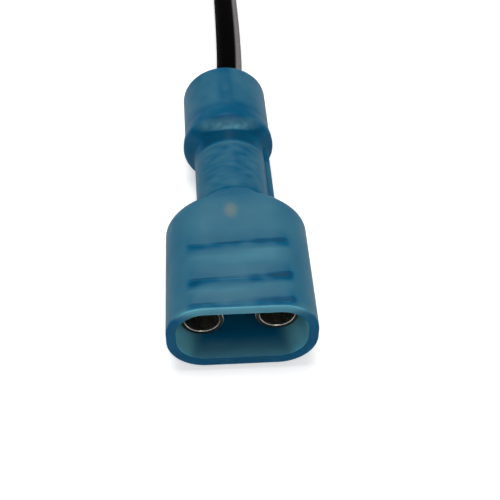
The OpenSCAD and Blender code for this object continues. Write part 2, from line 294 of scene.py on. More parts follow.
def ramp(tree, factor, *stops):
    """A colour ramp through (place, colour) stops."""
    made = node(tree, "ShaderNodeValToRGB", Fac=factor)
    elements = made.color_ramp.elements
    while len(elements) < len(stops):
        elements.new(0.5)
    for element, (place, colour) in zip(elements, stops):
        element.position = place
        element.color = (*colour[:3], 1)
    return made.outputs["Color"]


def new_material(name):
    """An empty node material, its tree and its object coordinates."""
    made = bpy.data.materials.new(name)
    made.use_nodes = True
    made.node_tree.nodes.clear()
    coordinates = node(made.node_tree, "ShaderNodeTexCoord").outputs["Object"]
    return made, made.node_tree, coordinates


def output(tree, shader):
    """Sends a shader to the material's surface."""
    node(tree, "ShaderNodeOutputMaterial", Surface=shader.outputs[0])


def per_mm(millimetres):
    """The texture scale at which a pattern repeats about once in that many millimetres."""
    return 1 / (millimetres * MM)


def moulded_nylon(finishes):
    """Unfilled nylon, injection moulded and dyed through: milky, half see-through, with a satin skin."""
    made, tree, place = new_material("moulded_translucent_nylon")
    # Cloudy dye and uneven cooling, in patches of a few millimetres
    cloud = node(tree, "ShaderNodeTexNoise", Vector=place, Scale=per_mm(2.6), Detail=2, Roughness=0.5)
    # Painted light and shade, with some uneven tone, that the housing carries at each vertex
    painted_light_and_tone = node(tree, "ShaderNodeAttribute", {"attribute_name": "painted_light_and_tone"}).outputs["Fac"]
    drift = node(tree, "ShaderNodeMapRange", Value=cloud.outputs["Fac"], From_Min=0.3, From_Max=0.7,
                 To_Min=-0.05, To_Max=0.05)
    mixed = node(tree, "ShaderNodeMath", {"operation": "ADD", "use_clamp": True},
                 _0=painted_light_and_tone, _1=drift.outputs[0])
    # Painted shade and light: shaded copies of the nylon below its plain colour, and a lit copy above it
    colour = ramp(
        tree, mixed.outputs[0], (0.0, tuple(0.55 * v for v in finishes.nylon_shaded)),
        (0.2, finishes.nylon_shaded), (0.5, finishes.nylon), (1.0, finishes.nylon_lit),
    )
    # A small pale, warm spot on top of the shoulder
    squash = Vector((1, PALE_SPOT_STRETCH, 1)) / MM
    spot = node(tree, "ShaderNodeMapping", Vector=place, Location=-PALE_SPOT * squash, Scale=squash)
    far = node(tree, "ShaderNodeVectorMath", {"operation": "LENGTH"}, _0=spot.outputs[0])
    near = node(tree, "ShaderNodeMapRange", {"interpolation_type": "SMOOTHSTEP"},
                Value=far.outputs["Value"], From_Min=0.1, From_Max=0.68, To_Min=0.5, To_Max=0)
    colour = node(tree, "ShaderNodeMix", {"data_type": "RGBA"}, _0=near.outputs[0],
                  _6=colour, _7=(*finishes.pale_spot, 1)).outputs[2]
    # Moulded skin: very low, soft ripples, and a fine satin grain
    ripple = node(tree, "ShaderNodeTexNoise", Vector=place, Scale=per_mm(0.7), Detail=3, Roughness=0.5)
    bump = node(tree, "ShaderNodeBump", Strength=0.3, Distance=0.02 * MM, Height=ripple.outputs["Fac"])
    rough = node(tree, "ShaderNodeMapRange", Value=ripple.outputs["Fac"], To_Min=0.3, To_Max=0.42)
    shader = node(
        tree, "ShaderNodeBsdfPrincipled",
        Base_Color=colour, Roughness=rough.outputs[0], Normal=bump.outputs[0],
        IOR=1.53, Subsurface_Weight=0.8, Subsurface_Scale=0.6 * MM, Transmission_Weight=0.15,
    )
    shader.inputs["Subsurface Radius"].default_value = (0.4, 0.9, 1.2)
    shader.inputs["Specular IOR Level"].default_value = 0.02
    output(tree, shader)
    return made


def worked_metal(name, colour, rough_low, rough_high):
    """Metal that was drawn or stamped: a soft shine with dull clouds and fine lines along it."""
    made, tree, place = new_material(name)
    # Dull clouds where the plating or the handling differs, about a millimetre across
    cloud = node(tree, "ShaderNodeTexNoise", Vector=place, Scale=per_mm(1.2), Detail=4, Roughness=0.6)
    shade = ramp(
        tree, cloud.outputs["Fac"],
        (0.3, tuple(0.75 * v for v in colour)), (0.7, tuple(colour)),
    )
    # Lines left by the die, along the part
    along = node(tree, "ShaderNodeMapping", Vector=place, Scale=(per_mm(0.08), per_mm(2.5), per_mm(0.08)))
    lines = node(tree, "ShaderNodeTexNoise", Vector=along.outputs[0], Scale=1, Detail=2)
    rough = node(
        tree, "ShaderNodeMapRange", Value=lines.outputs["Fac"], To_Min=rough_low, To_Max=rough_high
    )
    bump = node(tree, "ShaderNodeBump", Strength=0.3, Distance=0.01 * MM, Height=lines.outputs["Fac"])
    shader = node(
        tree, "ShaderNodeBsdfPrincipled",
        Base_Color=shade, Metallic=1.0, Roughness=rough.outputs[0], Normal=bump.outputs[0],
    )
    output(tree, shader)
    return made


def wire_jacket(finishes):
    """Plasticised PVC, extruded: soft black with a dull skin, and a grey stripe along one side."""
    made, tree, place = new_material("extruded_pvc_jacket")
    round_it = node(tree, "ShaderNodeUVMap", {"uv_map": "round_and_along"}).outputs["UV"]
    split = node(tree, "ShaderNodeSeparateXYZ", Vector=round_it)
    # The stripe's middle is at 0.5 round the jacket
    off = node(tree, "ShaderNodeMath", {"operation": "SUBTRACT"}, _0=split.outputs["X"], _1=0.5)
    away = node(tree, "ShaderNodeMath", {"operation": "ABSOLUTE"}, _0=off.outputs[0])
    share = node(
        tree, "ShaderNodeMapRange", {"interpolation_type": "SMOOTHSTEP"}, Value=away.outputs[0],
        From_Min=STRIPE_HALF - STRIPE_SOFT, From_Max=STRIPE_HALF + STRIPE_SOFT, To_Min=1, To_Max=0,
    )
    grain = node(tree, "ShaderNodeTexNoise", Vector=place, Scale=per_mm(0.25), Detail=3)
    stripe = ramp(
        tree, grain.outputs["Fac"],
        (0.35, tuple(0.86 * v for v in finishes.stripe)), (0.65, finishes.stripe),
    )
    colour = node(
        tree, "ShaderNodeMix", {"data_type": "RGBA"}, _0=share.outputs[0],
        _6=(*finishes.jacket, 1), _7=stripe,
    )
    bump = node(tree, "ShaderNodeBump", Strength=0.3, Distance=0.01 * MM, Height=grain.outputs["Fac"])
    shader = node(
        tree, "ShaderNodeBsdfPrincipled",
        Base_Color=colour.outputs[2], Roughness=0.7, Normal=bump.outputs[0], IOR=1.52,
    )
    shader.inputs["Specular IOR Level"].default_value = 0.03
    output(tree, shader)
    return made


def white_board(finishes):
    """Matte white board: no shine, lit white, and it keeps the part's soft shadow."""
    made, tree, place = new_material("matte_white_board")
    path = node(tree, "ShaderNodeLightPath").outputs
    lift = node(tree, "ShaderNodeMath", {"operation": "MULTIPLY"}, _0=path["Is Camera Ray"], _1=0.45)
    fibre = node(tree, "ShaderNodeTexNoise", Vector=place, Scale=per_mm(2), Detail=2)
    colour = ramp(
        tree, fibre.outputs["Fac"], (0.3, tuple(0.97 * v for v in finishes.floor)), (0.7, finishes.floor)
    )
    board = node(tree, "ShaderNodeBsdfDiffuse", Color=colour)
    glow = node(tree, "ShaderNodeEmission", Color=(1, 1, 1, 1), Strength=lift.outputs[0])
    both = node(tree, "ShaderNodeAddShader", _0=board.outputs[0], _1=glow.outputs[0])
    output(tree, both)
    return made


# -------- pieces

# The camera's aim and distance in millimetres, and its angles in degrees: round, up and roll
CAMERA_AIM, CAMERA_BACK = (0.937, -4.777, 3.535), 65.04
CAMERA_TURN = (-3.784, 46.62, 0.49)
CAMERA_LENS = 65.95
# Square lamps aimed at the part: place and side in millimetres, watts, and if they leave highlights
LAMPS = {
    "lamp_above": ((-8, 5, 170), 80, 0.165, False),
    "lamp_behind": ((5, 142, 130), 24, 0.016, True),
    "lamp_front": ((12, -120, 125), 60, 0.075, True),
}
LAMP_AIM = Vector((0, 0, 3)) * MM
WORLD_LIGHT = 0.22


class TERMINAL_OT_stage(bpy.types.Operator):
    """Makes the camera, the white floor, the soft lamps and the world"""

    bl_idname = "terminal.stage"
    bl_label = "Stage"

    def execute(self, context):
        scene = context.scene
        azimuth, elevation, roll = map(radians, CAMERA_TURN)
        back = Vector((sin(azimuth) * cos(elevation), -cos(azimuth) * cos(elevation), sin(elevation)))
        level = Vector((cos(azimuth), sin(azimuth), 0))
        rise = back.cross(level)
        right = cos(roll) * level + sin(roll) * rise
        up = cos(roll) * rise - sin(roll) * level
        camera = bpy.data.objects.new("camera", bpy.data.cameras.new("camera"))
        camera.data.sensor_width = 36
        camera.data.lens = CAMERA_LENS
        camera.data.clip_start = 1 * MM
        camera.data.clip_end = 10
        place = (Vector(CAMERA_AIM) + CAMERA_BACK * back) * MM
        turn = Matrix((right, up, back)).transposed()
        camera.matrix_world = Matrix.Translation(place) @ turn.to_4x4()
        scene.collection.objects.link(camera)
        scene.camera = camera

        bm = bmesh.new()
        bmesh.ops.create_grid(bm, x_segments=8, y_segments=8, size=0.6)
        floor = finish_mesh(bm, "floor", outward=False)
        floor.data.materials.append(white_board(scene.terminal_finishes))

        for name, (place, side, watts, shiny) in LAMPS.items():
            data = bpy.data.lights.new(name, "AREA")
            data.shape = "SQUARE"
            data.size = side * MM
            data.energy = watts
            lamp = bpy.data.objects.new(name, data)
            lamp.location = Vector(place) * MM
            lamp.rotation_euler = (LAMP_AIM - lamp.location).to_track_quat("-Z", "Y").to_euler()
            # The large lamp above leaves no highlights, so that the nylon stays satin
            lamp.visible_glossy = shiny
            scene.collection.objects.link(lamp)

        world = bpy.data.worlds.new("soft_white_room")
        world.use_nodes = True
        tree = world.node_tree
        tree.nodes.clear()
        path = node(tree, "ShaderNodeLightPath").outputs
        strength = node(
            tree, "ShaderNodeMapRange", Value=path["Is Camera Ray"], To_Min=WORLD_LIGHT, To_Max=1.0
        )
        sky = node(tree, "ShaderNodeBackground", Color=(1, 1, 1, 1), Strength=strength.outputs[0])
        node(tree, "ShaderNodeOutputWorld", Surface=sky.outputs[0])
        scene.world = world
        scene.view_settings.view_transform = "Standard"
        return {"FINISHED"}


# The wire's fall to the floor, in millimetres: behind the terminal, to +X and up
WIRE_FALL = (
    (0, 0.14, 3.5), (3, 0.36, 3.5), (6, 0.48, 3.45), (9, 0.53, 3.3), (12, 0.56, 3), (15, 0.58, 2.55),
    (18, 0.6, 2), (21, 0.6, 1.48), (23.3, 0.6, 1.18), (25.4, 0.72, 1.1), (27.2, 1.03, 1.1), (29, 1.53, 1.1),
)
# Where the wire is still in the middle of the tube, behind the mouth
WIRE_MIDDLE_S = 19.165 * MM


def wire_route(sizes):
    """The middle of the wire, point by point, from inside the terminal to the end of its jacket."""
    swing = bpy.context.scene.terminal_housing.rear_swing
    points = [swung((0, MOUTH_Y + s, AXIS_Z), swing) for s in (sizes.jacket_s, WIRE_MIDDLE_S)]
    for back, side, height in WIRE_FALL:
        points.append(Vector((side * MM, MOUTH_Y + END_S + back * MM, height * MM)))
    middle = Vector((COIL_SIDE, MOUTH_Y + END_S + sizes.coil_back, sizes.wire_d / 2))
    # The outer turn, the way in to the inner turn, and the last stretch inside it
    for first, last, r0, r1 in (
        (-25, 255, sizes.outer_r, sizes.outer_r), (255, 325, sizes.outer_r, sizes.inner_r),
        (325, 605, sizes.inner_r, sizes.inner_r), (605, 695, sizes.inner_r, sizes.strip_r),
        (695, 720, sizes.strip_r, sizes.strip_r),
    ):
        steps = max(2, round((last - first) / 8))
        for k in range(steps):
            u = k / steps
            a, r = radians(first + (last - first) * u), r0 + (r1 - r0) * ease(0, 1, u)
            points.append(middle + Vector((r * cos(a), r * sin(a), 0)))
    return points + [middle + Vector((sizes.strip_r, 0, 0))], middle


def sweep(bm, route, radius, sides, turn=0.0, uv=None):
    """Sweeps a circle along a route, level all the way, and closes its ends."""
    ring = start_ring(bm, sides)
    frames, gone = [], 0
    for k, point in enumerate(route):
        way = (route[min(k + 1, len(route) - 1)] - route[max(k - 1, 0)]).normalized()
        side = way.cross(Vector((0, 0, 1))).normalized()
        gone += (point - route[k - 1]).length if k else 0
        frames.append((point, side, side.cross(way), gone))
    rings = []
    for k, (point, side, up, gone) in enumerate(frames):
        if k:
            ring = next_ring(bm, ring)
        for i, vertex in enumerate(ring):
            a = 2 * pi * i / sides + turn
            vertex.co = point + radius * (cos(a) * side + sin(a) * up)
        rings.append(ring)
    for end in (rings[0], rings[-1]):
        bmesh.ops.contextual_create(bm, geom=end)
    if uv:
        # U goes round the jacket once, and V along it in centimetres
        place = {v: (i / sides, frames[k][3]) for k, r in enumerate(rings) for i, v in enumerate(r)}
        for face in bm.faces:
            if len(face.verts) != 4:
                continue
            rounds = [place[loop.vert][0] for loop in face.loops]
            for loop, share in zip(face.loops, rounds):
                wrapped = share + 1 if max(rounds) - share > 0.5 else share
                loop[uv].uv = (wrapped, place[loop.vert][1] / MM / 10)


def smooth_route(points, spacing):
    """A smooth curve through the points, in steps of about that length."""
    made = []
    for k in range(len(points) - 1):
        p0, p1 = points[max(k - 1, 0)], points[k]
        p2, p3 = points[k + 1], points[min(k + 2, len(points) - 1)]
        steps = max(1, ceil((p2 - p1).length / spacing))
        for i in range(steps):
            t = i / steps
            made.append(0.5 * (
                2 * p1 + (p2 - p0) * t + (2 * p0 - 5 * p1 + 4 * p2 - p3) * t ** 2
                + (3 * p1 - p0 - 3 * p2 + p3) * t ** 3
            ))
    return made + [points[-1]]


class TERMINAL_OT_wire(bpy.types.Operator):
    """Makes the lead: its jacket with a grey stripe, and the stripped end's strands"""

    bl_idname = "terminal.wire"
    bl_label = "Wire"

    def execute(self, context):
        sizes, finishes = context.scene.terminal_wire, context.scene.terminal_finishes
        route, middle = wire_route(sizes)
        route = smooth_route(route, 1.0 * MM)
        bm = bmesh.new()
        uv = bm.loops.layers.uv.new("round_and_along")
        # The ring's seam lies opposite the stripe, whose middle faces +X and a little up
        sweep(bm, route, sizes.wire_d / 2, 24, turn=radians(STRIPE_TURN) - pi, uv=uv)
        jacket = finish_mesh(bm, "wire_jacket")
        jacket.data.materials.append(wire_jacket(finishes))
        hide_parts("wire", "wire_coil")
        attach(jacket, "root")

        strands = self.strands(sizes, middle)
        # Tinned copper, drawn and twisted: pale and a little dull
        strands.data.materials.append(worked_metal("tinned_copper_strand", finishes.copper, 0.3, 0.5))
        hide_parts("stripped_end")
        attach(strands, "root")
        return {"FINISHED"}

    def strands(self, sizes, middle):
        """Seven strands: one in the middle and six that lie round it in a long twist."""
        bm = bmesh.new()
        pitch = sizes.strand_d + 0.02 * MM
        inside, steps = 0.6 * MM, 24
        for strand in range(7):
            line = []
            for k in range(steps + 1):
                run = -inside + (sizes.strip_l + inside) * k / steps
                a = run / sizes.strip_r
                out = Vector((cos(a), sin(a), 0))
                if strand < 6:
                    b = 2 * pi * (strand / 6 + run / sizes.twist)
                    off = pitch * (cos(b) * out + sin(b) * Vector((0, 0, 1)))
                else:
                    off = Vector()
                line.append(middle + sizes.strip_r * out + off)
            sweep(bm, line, sizes.strand_d / 2, 12)
        return finish_mesh(bm, "stripped_strands")


class Moulding:
    """The housing's outer and inner shape, as a section for each place along it."""

    def __init__(self, sizes):
        self.s = sizes
        self.inner_w = SHELL_W - 2 * sizes.shell_wall
        self.inner_h = sizes.shell_h - 2 * sizes.shell_wall
        self.neck_s = sizes.shell_s + sizes.shoulder_l
        # The flare inside ends just before the collar is widest
        self.flare_end = sizes.collar_s - 0.09 * MM
        # Places of the grip steps, from the mouth back
        self.grips = (sizes.grip_lip, sizes.grip_mid, sizes.grip_back)

    def rear_radius(self, s):
        """Outer radius of the neck, the collar and the tube."""
        z = self.s
        neck, tube = z.neck_d / 2, z.tube_d / 2
        collar = tube + z.bulge
        if s < z.collar_s:
            return neck + (collar - neck) * swell((s - z.collar_s + z.step_l) / z.step_l)
        return collar + (tube - collar) * swell((s - z.collar_s) / z.fall_l)

    def shoulder(self, w, h, r, d, s0, length, s):
        """Section of a shoulder that runs from a rounded rectangle to a circle."""
        keep = cos(asin(min(max((s - s0) / length, 0), 1))) ** SHOULDER_LEAN
        wk, hk = d + (w - d) * keep, d + (h - d) * keep
        return wk, hk, min(d / 2 + (r - d / 2) * keep, wk / 2, hk / 2)

    def outer(self, s):
        """Outer width, height and edge radius."""
        z = self.s
        if s <= self.neck_s:
            return self.shoulder(SHELL_W, z.shell_h, z.edge_r, z.neck_d, z.shell_s, z.shoulder_l, s)
        d = 2 * self.rear_radius(s)
        return d, d, d / 2

    def inner(self, s):
        """Inner width, height and edge radius."""
        z = self.s
        if s <= THROAT_S:
            return self.shoulder(
                self.inner_w, self.inner_h, z.edge_r - z.shell_wall, z.neck_bore,
                z.shell_s, z.shoulder_l - z.shell_wall, s,
            )
        d = z.neck_bore + (z.tube_bore - z.neck_bore) * min(
            max((s - self.flare_end + z.flare_l) / z.flare_l, 0), 1
        )
        return d, d, d / 2

    def grip_drop(self, s):
        """How deep the wide faces lie under their pads."""
        z = self.s
        drop = 0
        for step in self.grips:
            if s > step - GRIP_EDGE:
                fall = ease(step - GRIP_EDGE, step + GRIP_EDGE, s)
                rise = max(0, 1 - (s - step) / z.grip_slope)
                drop = max(drop, z.grip_depth * fall * min(rise, 1))
        return drop

    def crimp(self, s):
        """1 in the crimped stretch of the neck and 0 outside it."""
        z = self.s
        return plateau(
            self.neck_s + 0.1 * MM, z.groove_s + 0.2 * MM,
            z.crimp_end_s - 0.2 * MM, z.crimp_end_s + 0.05 * MM, s
        )

    def outside(self, s, share):
        """A point of the outer skin, with its grip steps, crimp marks and flash."""
        z = self.s
        x, v = section_point(*self.outer(s), share)
        turned_up = 1 if v > 0 else -1
        top = z.shell_h / 2 - self.grip_drop(s)
        if s < z.shell_s and abs(v) > top:
            v = turned_up * top
        squeeze = self.crimp(s)
        if squeeze:
            r = hypot(x, v)
            flat = ease(0.35, 0.95, abs(v) / r)
            # Uneven dents left by the jaws, each about a millimetre across
            dent = 0.5 + 0.5 * noise.noise(Vector((x, s, v)) / (1.3 * MM))
            r -= squeeze * z.crimp_dent * flat * (0.45 + 0.75 * dent)
            # The groove under the jaws' front edge
            r -= flat * z.groove_depth * mound(z.groove_s, 0.13 * MM, s)
            x, v = x * r / hypot(x, v), v * r / hypot(x, v)
        ridge = plateau(
            self.neck_s - 0.6 * MM, self.neck_s, z.collar_s - 0.9 * z.step_l, z.collar_s - 0.3 * z.step_l, s
        )
        if ridge and x > 0 and abs(v) < z.ridge_w:
            # A thin fin with a round edge
            reach = z.neck_d / 2 + z.ridge_out
            fin = sqrt(max(0, 1 - (v / (0.5 * z.ridge_w)) ** 2))
            x = max(x, x + (reach - x) * min(1, 1.15 * fin) * ridge)
        return x, v


def painted_light_and_tone_at(shape, kind, s, x, v):
    """The painted light and shade on the nylon at a point, from what lies behind it and how light falls
    there.
    """
    z = shape.s
    wide = abs(x) / (SHELL_W / 2)
    if kind == "inner" and z.lip_r < s < z.collar_s:
        # The open cavity: painted light at the mouth and on its side walls, as lit through them, and painted
        # shade far inside
        floor = 0.5 * (1 - ease(0.3 * MM, 2.6 * MM, s))
        wall = ease(0.4, 0.82, wide) * (1 - ease(2 * MM, 7.5 * MM, s))
        return CAVITY_PAINTED_LIGHT + max(floor, (0.95 if x > 0 else 0.86) * wall)
    # Over air, with painted shade on the sides
    painted_light_and_tone = AIR_PAINTED_LIGHT - 0.1 * ease(0.4, 0.8, wide) * ease(0.1 * MM, 0.6 * MM, s)
    painted_light_and_tone = rear_painted_light_and_tone(shape, painted_light_and_tone, s, x, v)
    painted_light_and_tone += (1 - ease(0.62, 0.75, wide)) * grip_painted_shade_and_light(shape, s, x, v)
    # The lip: painted light on top, as lit through from above, and painted shade below
    if s > z.lip_r:
        lip = (1 - ease(0, 0.5 * MM, s)) * (v < 0.3 * z.shell_h)
    else:
        lip, painted_light_and_tone = 1, AIR_PAINTED_LIGHT
    high = 2 * v / z.shell_h
    lit = 0.72 if kind == "inner" else 0.6
    return painted_light_and_tone + lip * (lit * ease(0.6, 0.95, high) - 0.33 - 0.06 * ease(0.5, 0.9, -high))


def rear_painted_light_and_tone(shape, painted_light_and_tone, s, x, v):
    """Carries the painted light and shade on from the shell over the crimped neck, the collar and the tube.
    """
    z = shape.s
    up = abs(v) / max(hypot(x, v), 1e-6)
    top = ease(0.45, 0.85, up)
    spot = Vector((0.5 * x, s, 0.5 * v)) / MM
    patch, fleck = noise.noise(spot / 0.42), noise.noise(spot / 0.2)
    # Painted shade over the barrel and in the jaws' groove, uneven patches, a painted highlight on the jaws'
    # rear edge, and a paler flash
    painted_light_and_tone -= 0.17 * ease(shape.neck_s - 2.4 * MM, shape.neck_s + 0.5 * MM, s)
    painted_light_and_tone -= 0.14 * top * mound(z.groove_s, 0.14 * MM, s)
    painted_light_and_tone += top * (0.14 * patch * shape.crimp(s) + 0.1 * mound(z.crimp_end_s, 0.16 * MM, s))
    if x > z.neck_d / 2 and s > shape.neck_s - 0.2 * MM:
        painted_light_and_tone += 0.1
    # Painted shade over the sleeve, deepest on the step, above which lies a painted highlight on the collar's
    # edge
    step_s = z.collar_s - z.step_l
    edge_s = s - 0.1 * x * x / MM
    sleeve = SLEEVE_PAINTED_LIGHT - 0.19 * top * (1 - ease(step_s - 0.2 * MM, step_s + 0.2 * MM, edge_s))
    painted_light_and_tone += (sleeve - painted_light_and_tone) * ease(z.crimp_end_s, z.crimp_end_s + 0.5 * MM, s)
    painted_collar_highlight = plateau(
        step_s - 0.1 * MM, step_s + 0.1 * MM, step_s + 0.25 * MM, step_s + 0.75 * MM, edge_s
    )
    painted_light_and_tone += painted_collar_highlight * ease(0.58, 1, up) * (0.36 + 0.22 * fleck)
    # The tube behind the sleeve, with painted shade where the dark wire inside shows through, a small painted
    # glint, and a painted highlight on the rear edge
    tube = TUBE_PAINTED_LIGHT + 0.06 * patch
    painted_light_and_tone += (tube - painted_light_and_tone) * ease(z.sleeve_seen_s - 0.3 * MM, z.sleeve_seen_s + 0.4 * MM, s)
    if s > z.sleeve_seen_s:
        wire = 0.13 + 0.12 * ease(END_S - 0.9 * MM, END_S - 0.2 * MM, s)
        painted_light_and_tone -= wire * mound(0, 0.6 * MM, x, power=4)
        painted_light_and_tone += 0.12 * mound(0, 0.3 * MM, x) * mound(z.sleeve_seen_s + 1.8 * MM, 0.4 * MM, s)
        painted_light_and_tone += 0.12 * (1 - painted_light_and_tone) * ease(END_S - 0.2 * MM, END_S - 0.1 * MM, s) * mound(0, 1.1 * MM, x)
    return painted_light_and_tone


def grip_painted_shade_and_light(shape, s, x, v):
    """What the grip steps add: a stripe of painted shade, sharp at the back, and a pad with painted light
    that pales towards the next.
    """
    total = 0
    for number, step in enumerate(shape.grips):
        d = (s - step - 0.05 * x) / MM
        wave = 0.85 + 0.8 * noise.noise(Vector((x / (1.1 * MM), 0.9 * d, 5 * number + (v > 0))))
        if number < 2:
            # The two front stripes fade in the middle and are stronger to the right
            middle = (0.5, 0.65)[number]
            wave *= middle + 0.85 * ease(0.2 * MM, 1.6 * MM, x) + 0.4 * ease(1 * MM, 2.4 * MM, -x)
        # Painted shade in a stripe at each step and on the slope behind it, and painted light on the pad in
        # front of it
        stripe = plateau(-0.75, -0.05, 0.3, 0.42, d)
        behind = plateau(0.28, 0.38, 0.38, 1.5, d)
        glow = plateau(-2.1, -0.7, -0.7, -0.5, d)
        total += 0.07 * glow - min(1.2, wave) * (0.33 * stripe + 0.1 * behind)
    return total


class TERMINAL_OT_housing(bpy.types.Operator):
    """Makes the moulded housing, outside and inside, as one closed skin"""

    bl_idname = "terminal.housing"
    bl_label = "Housing"

    def execute(self, context):
        sizes, finishes = context.scene.terminal_housing, context.scene.terminal_finishes
        shape = Moulding(sizes)
        count = 224
        bm = bmesh.new()
        # Painted light and shade for each vertex, read by the nylon's colour ramp
        painted_light_and_tone = bm.verts.layers.float.new("painted_light_and_tone")
        ring = start_ring(bm, count)
        first = ring
        for number, (s, kind, inset) in enumerate(self.stations(shape)):
            if number:
                ring = next_ring(bm, ring)
            for i, vertex in enumerate(ring):
                if kind == "outer":
                    x, v = shape.outside(s, i / count)
                    w, h, r = shape.outer(s)
                else:
                    w, h, r = shape.inner(s)
                    x, v = section_point(w, h, r, i / count)
                if inset:
                    # Towards the wall's middle, square to the section's edge
                    cx = max(-w / 2 + r, min(w / 2 - r, x))
                    cv = max(-h / 2 + r, min(h / 2 - r, v))
                    away = Vector((x - cx, v - cv))
                    if away.length > 0:
                        shift = away.normalized() * inset
                        x, v = (x - shift.x, v - shift.y) if kind == "outer" else (x + shift.x, v + shift.y)
                vertex[painted_light_and_tone] = painted_light_and_tone_at(shape, kind, s, x, v)
                vertex.co = (x, MOUTH_Y + s, AXIS_Z + v)
                if s > THROAT_S:
                    vertex.co = swung(vertex.co, sizes.rear_swing)
        rims = [[bm.edges.get((r[i - 1], r[i])) for i in range(count)] for r in (first, ring)]
        bmesh.ops.bridge_loops(bm, edges=[e for rim in rims for e in rim])
        housing = finish_mesh(bm, "housing_moulding")
        housing.data.materials.append(moulded_nylon(finishes))
        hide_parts("housing")
        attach(housing, "root")
        return {"FINISHED"}

    def stations(self, shape):
        """Places of the rings: down the outside, round the rear edge and back up the inside."""
        z = shape.s
        lip = z.lip_r
        lip_turns, edge_turns = (0, 16, 32, 50, 70, 90), (0, 18, 36, 54, 72, 90)
        places = self.rounded(0, lip, "outer", lip_turns[::-1])
        outer = set()
        for step in shape.grips:
            outer |= {step + d * MM for d in (
                -0.6, -0.5, -0.4, -0.3, -0.2, -0.1, -0.04, -0.015, 0, 0.015, 0.04, 0.1, 0.2, 0.28, 0.31,
                0.35, 0.38, 0.6, 0.9, 1.2)}
        outer |= {z.shell_s - 0.2 * MM, z.shell_s}
        outer |= {k * 0.5 * MM for k in range(1, 18)}
        outer |= {z.shell_s + z.shoulder_l * sin(pi / 2 * k / 22) for k in range(23)}
        last = z.collar_s - z.step_l
        outer |= {shape.neck_s + (last - shape.neck_s) * k / 60 for k in range(1, 61)}
        outer |= {z.crimp_end_s + k * 0.05 * MM for k in range(-4, 3)}
        outer |= {last + z.step_l * k / 16 for k in range(17)}
        outer |= {z.collar_s + z.fall_l * k / 16 for k in range(17)}
        fallen, edge = z.collar_s + z.fall_l, 0.1 * MM
        outer |= {fallen + (END_S - edge - fallen) * k / 8 for k in range(9)}
        done = lip
        for s in sorted(outer):
            if s > done + 0.008 * MM:
                places.append((s, "outer", 0))
                done = s
        # The rear edge: round outside, then a funnel edge that leads the wire in
        wall = (z.tube_d - z.tube_bore) / 2
        places += self.rounded(END_S, -edge, "outer", edge_turns[1:])
        places.append((END_S, "inner", wall - 0.5 * (wall - z.funnel) - edge / 2))
        places += self.rounded(END_S, -z.funnel, "inner", edge_turns[::-1])
        inner = {shape.flare_end, shape.flare_end - z.flare_l, THROAT_S}
        inner |= {END_S - z.funnel - k * 1.2 * MM for k in range(1, 5)}
        inner |= {THROAT_S + k * 1.2 * MM for k in range(1, 7)}
        inner |= {z.shell_s + (z.shoulder_l - z.shell_wall) * sin(pi / 2 * k / 14) for k in range(15)}
        inner |= {k * MM for k in (0.1, 0.4, 0.8, 1.2, 1.6, 2, 2.5, 3, 4, 5, 6, 7, 8)}
        done = END_S - z.funnel
        for s in sorted(inner, reverse=True):
            if s < done - 0.02 * MM:
                places.append((s, "inner", 0))
                done = s
        return places + self.rounded(0, lip, "inner", lip_turns)

    def rounded(self, end, size, kind, turns):
        """Rings round an edge, by their turns in degrees: before its end where the size is negative."""
        angles = map(radians, turns)
        return [(end + size * (1 - sin(a)), kind, abs(size) * (1 - cos(a))) for a in angles]


